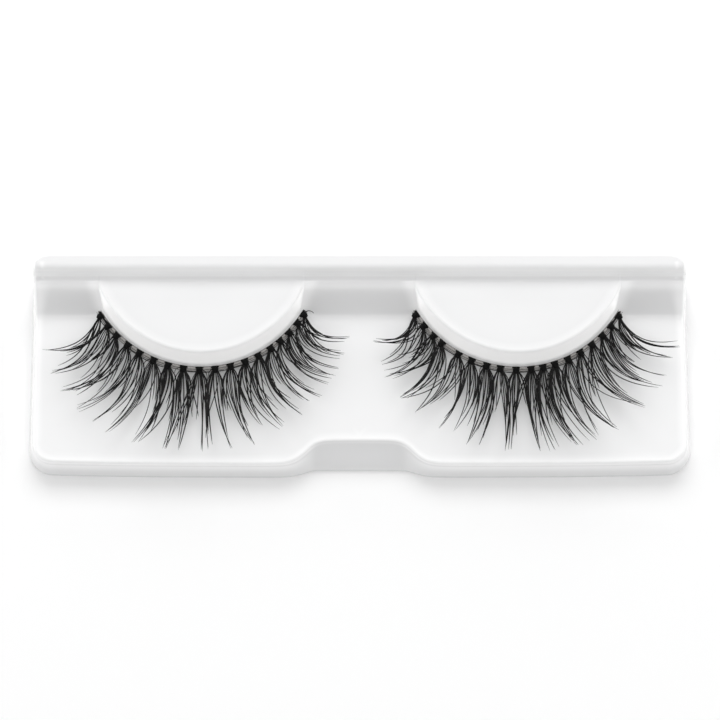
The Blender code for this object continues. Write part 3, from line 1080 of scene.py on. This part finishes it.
@dataclass(frozen=True)
class StripSizes:
    """Sizes that both strips share."""

    start: float = math.radians(147.9)
    end: float = math.radians(31.8)
    end_rise: float = 0.4 * MM
    band_standoff: float = 0.88 * MM
    band_width: float = 0.72 * MM
    band_thickness: float = 0.14 * MM
    band_lift: float = 1.0 * MM
    band_steps: int = 160
    band_sides: int = 12
    band_squareness: Plan = (0.6, 1.0)
    band_blunt: float = 0.15
    band_taper: float = 2.5
    knot_setback: float = 0.18 * MM
    knot_length: float = 0.95 * MM
    knot_width: float = 1.0 * MM
    knot_thickness: float = 0.42 * MM
    knot_lift: float = 1.55 * MM
    knot_sides: int = 12
    knot_squareness: Plan = (0.55, 0.7)
    bar_overhang: float = 0.6
    bar_setback: float = 0.22 * MM
    bar_half_width: float = 0.20 * MM
    bar_half_height: float = 0.17 * MM
    bar_waist: float = 0.25
    bar_blunt: float = 0.01
    bar_taper: float = 0.125
    bar_steps: int = 16
    bar_sides: int = 10
    binding_place: float = 0.55
    binding_turns: float = 4.0
    binding_length: float = 0.36 * MM
    binding_half_width: float = 0.43 * MM
    binding_half_height: float = 0.23 * MM
    thread_radius: float = 0.045 * MM
    thread_steps: int = 140
    short_steps: int = 12
    dark_share: float = 0.65
    dark_sag: float = 0.12
    dark_inset: float = 0.06 * MM
    dark_thickness: float = 1.4
    dark_tone: float = 0.1
    loose_share: float = 0.45
    loose_reach: Plan = (0.35, 0.55)
    loose_length: Plan = (0.9, 1.7)
    loose_start: float = 0.3 * MM
    loose_lift: float = 0.15 * MM
    loose_bend: float = 1.9
    loose_power: float = 1.6
    loose_thickness: float = 1.6
    loose_thinning: float = 0.84
    lash_rise: float = 4.0 * MM
    lash_dip: float = 0.3 * MM
    curl_power: float = 2.2
    full_reach: float = 12.0 * MM
    chart_offset: float = 1.15 * MM
    rise_guess: float = 0.8
    rise_rounds: int = 3
    root_place: float = 0.62
    root_spread: float = 0.36
    stations: tuple[float, ...] = (0.0, 0.12, 0.52, 1.0)
    hair_radius: float = 0.085 * MM
    hair_widths: Plan = (0.72, 1.12)
    hair_steps: int = 18
    step_power: float = 0.9
    strand_sides: int = 6


# What each strip's random draws start from
STRIP_SEEDS = {Side.LEFT: 11, Side.RIGHT: 23}

# Knots along each band, as shares of the way from its outer end to its inner end
KNOT_SHARES = {
    Side.LEFT: (
        0.025, 0.074, 0.125, 0.183, 0.240, 0.304, 0.365, 0.428, 0.492,
        0.555, 0.617, 0.678, 0.735, 0.793, 0.840, 0.888, 0.938, 0.980,
    ),
    Side.RIGHT: (
        0.025, 0.075, 0.126, 0.181, 0.237, 0.294, 0.350, 0.399, 0.447,
        0.507, 0.570, 0.626, 0.689, 0.747, 0.826, 0.870, 0.924, 0.978,
    ),
}

# Long clumps, charted: (degrees round the pad as the picture shows them, millimetres from the rim)
LONG_TIPS = {
    Side.LEFT: (
        (146.3, 9.4), (139.7, 10.5), (133.5, 11.1), (127.0, 11.5), (121.0, 11.4), (116.5, 11.9),
        (108.8, 11.9), (107.0, 11.6), (100.0, 11.6), (95.8, 11.6), (89.2, 11.6), (87.3, 11.4),
        (80.7, 11.5), (74.5, 11.6), (70.7, 9.6), (65.2, 10.8), (58.7, 10.4), (55.0, 9.7),
        (51.2, 10.0), (47.0, 9.1), (43.8, 9.1), (41.3, 8.9), (37.2, 8.3), (31.8, 7.5),
    ),
    Side.RIGHT: (
        (31.8, 9.6), (35.7, 9.8), (41.3, 10.4), (44.7, 10.9), (52.0, 11.4), (62.2, 11.9),
        (68.0, 11.9), (74.2, 11.9), (80.3, 11.8), (84.5, 11.5), (92.8, 11.6), (94.3, 11.6),
        (101.5, 11.5), (105.0, 11.5), (109.5, 10.5), (114.0, 11.1), (122.3, 10.4), (128.2, 10.0),
        (135.5, 9.1), (139.7, 8.4), (146.7, 7.3),
    ),
}

# A hair's thickness along it: (share of its length, share of its radius)
HAIR_TAPER = ((0.0, 0.86), (0.30, 1.0), (0.64, 0.95), (0.88, 0.68), (1.0, 0.20))

# A knot's core, a bar over the band and then a bundle: (share of its length, of its width, of its height)
KNOT_SECTIONS = (
    (0.00, 0.90, 0.40), (0.03, 1.08, 0.74), (0.12, 1.14, 0.95), (0.24, 1.10, 0.95), (0.30, 0.88, 0.62),
    (0.36, 0.82, 0.86), (0.50, 0.80, 1.00), (0.70, 0.70, 1.00), (0.88, 0.56, 0.86), (1.00, 0.46, 0.60),
)

# Fine threads along a band: (share of its width, inset, height above it, share of the radius, tone)
BAND_THREADS = (
    (0.0, 0.06 * MM, 0.03 * MM, 0.45, 0.9),
    (0.62, 0.0, 0.05 * MM, 0.6, 0.7),
    (1.0, -0.03 * MM, 0.03 * MM, 0.6, 0.6),
)


@dataclass(frozen=True)
class FanStyle:
    """How a knot's hairs fan out, gather into clumps and end."""

    hairs: int = 14
    end_loss: float = 3.5
    jitter: Plan = (0.1, 0.9)
    crowding: float = 0.80
    splay: float = 0.56
    target_splay: float = 0.66
    end_splay: float = 0.30
    nearest_share: float = 0.72
    leaders: int = 2
    leader_cut: Plan = (0.95, 1.0)
    leader_spread: float = math.radians(0.16)
    shortest: float = 0.38
    cut_power: float = 1.15
    tip_spread: float = math.radians(0.75)
    stray_share: float = 0.12
    stray_spread: float = math.radians(2.2)
    belly_range: Plan = (0.85, 1.12)
    late_range: Plan = (0.30, 0.62)
    lift_spread: float = 0.30 * MM
    lift_rate: float = 1.6
    swing: float = math.radians(3.9)
    swing_edge: float = 2.5
    swing_power: float = 0.75


@dataclass
class Hair:
    """One hair's line in its strip's own terms: angles at stations along the reach, and where it ends."""

    knot: float
    root: float
    belly: float
    late: float
    tip: float
    length: float
    cut: float
    lift: float
    tone: float


@dataclass
class LashStrip:
    """One strip: band, threads, knots and hairs, round its pad."""

    side: Side
    tray: TraySizes
    arc_y: float
    seed: int
    strands: StrandTree
    windings: WindingTree
    sizes: StripSizes = StripSizes()
    style: FanStyle = FanStyle()
    hair: Fibre = HAIR_FIBRE
    thread: Fibre = THREAD_FIBRE
    film: ClearBand = ClearBand()

    def __post_init__(self) -> None:
        """Work out the strip's places."""
        size = self.sizes
        self.centre_x = -self.side.value * self.tray.pad_spacing / 2.0
        self.inner = self.tray.pad_radius + size.band_standoff
        span = size.end - size.start
        self.knots = [size.start + span * share for share in KNOT_SHARES[self.side]]
        self.pitch = -span / len(self.knots)
        self.knot_start = self.inner + size.knot_setback
        self.root_radius = self.knot_start + size.root_place * size.knot_length
        self.root_half_angle = size.root_spread * size.knot_width / self.root_radius
        self.random = random.Random(self.seed)

    def share_of(self, angle: float) -> float:
        """How far along the band an angle lies, from the outer end."""
        return (angle - self.sizes.start) / (self.sizes.end - self.sizes.start)

    def place(self, angle: float, radius: float, height: float) -> Point:
        """Find a point of the strip.

        Args:
            angle: round the pad, from the inner side.
            radius: from the arc's centre.
            height: above the tray's floor.

        Returns:
            Its place in the frame.
        """
        off_middle = min(1.0, abs(2.0 * self.share_of(angle) - 1.0))
        x = self.centre_x + self.side.value * radius * math.cos(angle)
        y = self.arc_y - radius * math.sin(angle) * self.tray.arc_stretch
        return (x, y, self.tray.floor_height + height + self.sizes.end_rise * off_middle ** 6)

    def curl(self, share: float) -> float:
        """Rise of a lash above its knot, at a share of the full reach."""
        dip = self.sizes.lash_dip * math.sin(math.pi * min(share, 1.0)) * (1.0 - share)
        return self.sizes.lash_rise * share ** self.sizes.curl_power - dip

    def long_tips(self) -> list[LongTip]:
        """Put the charted clumps into the strip's own terms, by taking off what their rise adds.

        Returns:
            The clumps, from the outer end to the inner.
        """
        size = self.sizes
        tips = []
        for degrees, reach in LONG_TIPS[self.side]:
            shown = math.radians(degrees if self.side is Side.LEFT else 180.0 - degrees)
            shown_radius = self.tray.pad_radius + size.chart_offset + reach * MM
            rise = size.lash_rise * size.rise_guess
            for _ in range(size.rise_rounds):
                across = shown_radius * math.cos(shown)
                down = shown_radius * math.sin(shown) + rise * math.cos(PHOTO_ELEVATION)
                radius = math.hypot(across, down)
                rise = self.curl((radius - self.inner - size.band_width) / size.full_reach)
            tips.append(LongTip(math.atan2(down, across), radius))
        return sorted(tips, key=lambda tip: -tip.angle)

    def line(self, hair: Hair, share: float) -> Point:
        """Find a point of a hair.

        Args:
            hair: the hair.
            share: how far along it, from root to tip.

        Returns:
            The place in the frame.
        """
        style = self.style
        along = share * hair.cut
        radius = self.root_radius + hair.length * along
        angle = blend_curve((hair.root, hair.belly, hair.late, hair.tip), self.sizes.stations, along)
        off_middle = 1.0 - 2.0 * self.share_of(hair.knot)
        bend = math.sin(math.pi * along ** style.swing_power)
        angle -= style.swing * math.tanh(style.swing_edge * off_middle) * bend
        curl = self.curl(along * hair.length / self.sizes.full_reach)
        lift = hair.lift * smooth_step(along * style.lift_rate)
        return self.place(angle, radius, self.sizes.knot_lift + curl + lift)

    def fan_hair(self, knot: float, lean: float, tip: LongTip, leads: bool) -> Hair:
        """Draw one hair of a knot's fan.

        Args:
            knot: the knot that the hair leaves.
            lean: its place across the fan, from -1 to 1.
            tip: the clump that it joins.
            leads: whether it reaches the clump's tip.

        Returns:
            The hair.
        """
        style, draw = self.style, self.random
        spread_by = style.leader_spread if leads else style.tip_spread
        if not leads and draw.random() < style.stray_share:
            spread_by = style.stray_spread
        belly = knot + lean * style.splay * self.pitch * draw.uniform(*style.belly_range)
        aim = tip.angle + draw.gauss(0.0, spread_by)
        late = aim + (belly - aim) * draw.uniform(*style.late_range)
        if leads:
            cut = draw.uniform(*style.leader_cut)
        else:
            cut = style.shortest + (1.0 - style.shortest) * draw.random() ** style.cut_power
        return Hair(
            knot=knot, root=knot + lean * self.root_half_angle, belly=belly, late=late, tip=aim,
            length=tip.reach - self.root_radius, cut=cut, lift=draw.gauss(0.0, style.lift_spread),
            tone=draw.random(),
        )

    def hairs(self) -> list[Hair]:
        """Draw every knot's fan, each hair joining a charted clump near the way it leans.

        Returns:
            Every hair of the strip.
        """
        style, draw = self.style, self.random
        tips = self.long_tips()
        joined = dict.fromkeys(tips, 0)
        fans = []
        for knot in self.knots:
            count = round(style.hairs - style.end_loss * (2.0 * self.share_of(knot) - 1.0) ** 2)
            for number in range(count):
                lean = 2.0 * (number + draw.uniform(*style.jitter)) / count - 1.0
                lean = math.copysign(abs(lean) ** style.crowding, lean)
                if (knot == self.knots[0] and lean > 0.0) or (knot == self.knots[-1] and lean < 0.0):
                    lean *= style.end_splay
                target = knot + lean * style.target_splay * self.pitch
                near = sorted(tips, key=lambda tip: abs(tip.angle - target))[:2]
                fans.append((knot, lean, near[0] if draw.random() < style.nearest_share else near[1]))
        draw.shuffle(fans)
        found = []
        for knot, lean, tip in fans:
            found.append(self.fan_hair(knot, lean, tip, joined[tip] < style.leaders))
            joined[tip] += 1
        return found

    def build_strands(self, part: str, lines: Polylines, radius: float, fibre: Fibre,
                      nodes: list[str]) -> None:
        """Turn lines into a finished piece.

        Args:
            part: the piece's name after its side.
            lines: its lines.
            radius: the strands' full radius.
            fibre: their finish.
            nodes: the solids that the piece stands for.
        """
        name = self.side.word + part
        piece = self.strands.grow(name, lines.mesh(name), {
            "Radius": radius, "Sides": self.sizes.strand_sides, "Material": fibre.make()})
        dress(piece, nodes)

    def build_hairs(self) -> None:
        """Grow the strip's hairs in the place of its clusters."""
        size = self.sizes
        nodes = sorted(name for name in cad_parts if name.startswith(self.side.word + "_cluster"))
        shares = [(step / size.hair_steps) ** size.step_power for step in range(size.hair_steps + 1)]
        lines = Polylines()
        for hair in self.hairs():
            width = self.random.uniform(*size.hair_widths)
            thickness = [read_table(HAIR_TAPER, share) * width for share in shares]
            lines.add([self.line(hair, share) for share in shares], thickness, hair.tone)
        self.build_strands("_lashes", lines, size.hair_radius, self.hair, nodes)

    def build_band(self) -> None:
        """Make the clear band, with its UV map along and across it."""
        size = self.sizes
        middle = self.inner + size.band_width / 2.0
        height = size.band_lift + size.band_thickness / 2.0
        bm = bmesh.new()
        uv = bm.loops.layers.uv.new("along")
        sections = []
        for step in range(size.band_steps + 1):
            off_end = min(step, size.band_steps - step)
            taper = math.sqrt(min(1.0, (off_end + size.band_blunt) / size.band_taper))
            section = oval(size.band_sides, size.band_width / 2.0 * taper, size.band_thickness / 2.0,
                           size.band_squareness)
            angle = size.start + (size.end - size.start) * step / size.band_steps
            sections.append([self.place(angle, middle + across, height + up) for across, up in section])
        places = {}
        for step, ring in enumerate(add_tube(bm, sections)):
            for vert, (across, _) in zip(ring, oval(size.band_sides, 0.5, 0.5)):
                places[vert] = (step / size.band_steps, 0.5 + across)
        for face in bm.faces:
            for loop in face.loops:
                loop[uv].uv = places[loop.vert]
        piece = finish_mesh(bm, self.side.word + "_clear_band", self.film.make())
        dress(piece, [self.side.word + "_band"])

    def build_threads(self) -> None:
        """Lay fine threads along the band, the dark one that comes and goes at its edge, and loose ends."""
        size = self.sizes
        lines = Polylines()
        top = size.band_lift + size.band_thickness
        angles = [size.start] + spread(size.start, size.end, size.thread_steps)
        for share, inset, above, thickness, tone in BAND_THREADS:
            radius = self.inner + share * size.band_width + inset
            points = [self.place(angle, radius, top + above) for angle in angles]
            lines.add(points, [thickness] * len(points), tone)
        draw = random.Random(self.seed + 1)
        edge = self.inner + size.band_width + size.dark_inset
        start = self.knot_start + size.loose_start
        height = size.knot_lift + size.loose_lift
        shares = spread(0.0, 1.0, size.short_steps)
        for knot, following in zip(self.knots, self.knots[1:]):
            if draw.random() < size.dark_share:
                sag = draw.uniform(0.0, size.dark_sag) * MM
                points = [self.place(angle, edge + sag * math.sin(math.pi * share), top)
                          for angle, share in zip(spread(knot, following, size.short_steps), shares)]
                lines.add(points, [size.dark_thickness] * len(points), size.dark_tone)
            if draw.random() < size.loose_share:
                turn = draw.choice((-1.0, 1.0))
                reach = turn * draw.uniform(*size.loose_reach) * self.pitch
                out = draw.uniform(*size.loose_length) * MM
                points = [self.place(following + reach * math.sin(share * size.loose_bend),
                                     start + out * share ** size.loose_power, height) for share in shares]
                thickness = [size.loose_thickness - size.loose_thinning * share for share in [0.0] + shares]
                lines.add(points, thickness[:-1], size.dark_tone)
        self.build_strands("_threads", lines, size.thread_radius, self.thread, [])

    def knot_core(self, bm: bmesh.types.BMesh, angle: float) -> None:
        """Add a knot's core: a bar folded over the band, and the bundle that narrows into the hairs.

        Args:
            bm: the mesh to add to.
            angle: where the knot sits.
        """
        size = self.sizes
        sections = []
        for along, wide, tall in KNOT_SECTIONS:
            radius = self.knot_start + size.knot_length * along
            section = oval(size.knot_sides, wide * size.knot_width / 2.0, tall * size.knot_thickness / 2.0,
                           size.knot_squareness)
            sections.append([self.place(angle - across / radius, radius, size.knot_lift + up)
                             for across, up in section])
        add_tube(bm, sections)

    def end_bar(self, bm: bmesh.types.BMesh) -> None:
        """Add the glued bar that joins the two outermost knots.

        Args:
            bm: the mesh to add to.
        """
        size = self.sizes
        first = self.knots[0] + size.bar_overhang * size.knot_width / self.inner
        sections = []
        for share in [0.0] + spread(0.0, 1.0, size.bar_steps):
            angle = first + (self.knots[1] - first) * share
            swell = 1.0 - size.bar_waist + size.bar_waist * math.sin(3.0 * math.pi * share)
            off_end = min(share, 1.0 - share)
            swell *= math.sqrt(min(1.0, (off_end + size.bar_blunt) / size.bar_taper))
            section = oval(size.bar_sides, size.bar_half_width * swell, size.bar_half_height * swell)
            sections.append([self.place(angle, self.knot_start + size.bar_setback + out, size.knot_lift + up)
                             for out, up in section])
        add_tube(bm, sections)

    def build_knots(self) -> None:
        """Make the knots' cores and the bindings round them."""
        size = self.sizes
        bm = bmesh.new()
        for angle in self.knots:
            self.knot_core(bm, angle)
        self.end_bar(bm)
        dress(finish_mesh(bm, self.side.word + "_knots", self.thread.make()), [])
        points, headings = [], []
        radius = self.knot_start + size.binding_place * size.knot_length
        for angle in self.knots:
            here = Vector(self.place(angle, radius, size.knot_lift))
            out = Vector(self.place(angle, radius + 0.1 * MM, size.knot_lift)) - here
            points.append(tuple(here))
            headings += out.to_track_quat("Z", "X").to_euler()
        seeds = bpy.data.meshes.new(self.side.word + "_binding_seeds")
        seeds.from_pydata(points, [], [])
        seeds.attributes.new("heading", "FLOAT_VECTOR", "POINT").data.foreach_set("vector", headings)
        piece = self.windings.grow(self.side.word + "_bindings", seeds, {
            "Turns": size.binding_turns, "Length": size.binding_length, "Half Width": size.binding_half_width,
            "Half Height": size.binding_half_height, "Radius": size.thread_radius,
            "Sides": size.strand_sides, "Material": self.thread.make()})
        dress(piece, [])

    def build(self) -> None:
        """Make every piece of the strip."""
        self.build_band()
        self.build_threads()
        self.build_knots()
        self.build_hairs()


# Studio


@dataclass(frozen=True)
class SoftBox:
    """A soft box that faces the tray: its place, its width and height, and its power in watts."""

    name: str
    where: Point
    size: Plan
    power: float

    def hang(self) -> None:
        """Add it to the scene."""
        lamp = bpy.data.lights.new(self.name, "AREA")
        lamp.shape = "RECTANGLE"
        lamp.size, lamp.size_y = self.size
        lamp.energy = self.power
        thing = bpy.data.objects.new(self.name, lamp)
        thing.location = self.where
        thing.rotation_euler = (-Vector(self.where)).to_track_quat("-Z", "Y").to_euler()
        bpy.context.scene.collection.objects.link(thing)


SOFT_BOXES = (
    SoftBox("back_softbox", (0.0, 0.42, 0.50), (0.60, 0.35), 2.25),
    SoftBox("front_softbox", (0.0, -0.42, 0.50), (0.60, 0.35), 0.9),
    SoftBox("top_softbox", (0.0, 0.0, 0.62), (0.50, 0.30), 0.50),
    SoftBox("back_panel", (0.0, 0.60, 0.14), (1.2, 0.26), 1.1),
    SoftBox("left_panel", (-0.6, 0.0, 0.25), (0.8, 0.4), 1.4),
    SoftBox("right_panel", (0.6, 0.0, 0.25), (0.8, 0.4), 1.4),
)


@dataclass
class Studio:
    """The table, the lights and the camera."""

    table: Tabletop = Tabletop()
    table_half: float = 3.0
    room_light: float = 0.22
    elevation: float = PHOTO_ELEVATION
    distance: float = 590.0 * MM
    aim: Point = (0.056 * MM, 2.297 * MM, 0.0)
    half_view: float = 50.4 * MM
    sensor: float = 36.0

    def add_table(self) -> None:
        """Lay the table under the tray."""
        half = self.table_half
        mesh = bpy.data.meshes.new("tabletop")
        corners = [(-half, -half, 0.0), (half, -half, 0.0), (half, half, 0.0), (-half, half, 0.0)]
        mesh.from_pydata(corners, [], [(0, 1, 2, 3)])
        mesh.materials.append(self.table.make())
        add_object("tabletop", mesh)

    def add_world(self) -> None:
        """Fill the room with even pale light."""
        world = bpy.data.worlds.new("pale_room")
        world.use_nodes = True
        background = world.node_tree.nodes["Background"]
        background.inputs["Color"].default_value = (1.0, 1.0, 1.0, 1.0)
        background.inputs["Strength"].default_value = self.room_light
        bpy.context.scene.world = world

    def add_camera(self) -> None:
        """Set the camera at the photograph's angle."""
        data = bpy.data.cameras.new("camera")
        data.sensor_width = self.sensor
        data.lens = self.sensor * self.distance / (2.0 * self.half_view)
        data.clip_start = 0.01
        camera = bpy.data.objects.new("camera", data)
        back = Vector((0.0, -math.cos(self.elevation), math.sin(self.elevation)))
        camera.location = Vector(self.aim) + back * self.distance
        camera.rotation_euler = (math.pi / 2.0 - self.elevation, 0.0, 0.0)
        bpy.context.scene.collection.objects.link(camera)
        bpy.context.scene.camera = camera

    def build(self) -> None:
        """Set up everything round the object."""
        self.add_table()
        self.add_world()
        for box in SOFT_BOXES:
            box.hang()
        self.add_camera()
        bpy.context.scene.view_settings.view_transform = "Standard"


def main() -> None:
    """Build the tray, both strips and the studio."""
    logging.basicConfig(level=logging.INFO, format="%(name)s: %(message)s")
    sizes = TraySizes()
    tray = Tray(sizes)
    tray.build()
    strands, windings = StrandTree(), WindingTree()
    for side, seed in STRIP_SEEDS.items():
        LashStrip(side, sizes, tray.face(Skin.OUTER).arc_y, seed, strands, windings).build()
    Studio().build()


if __name__ == "__main__":
    main()
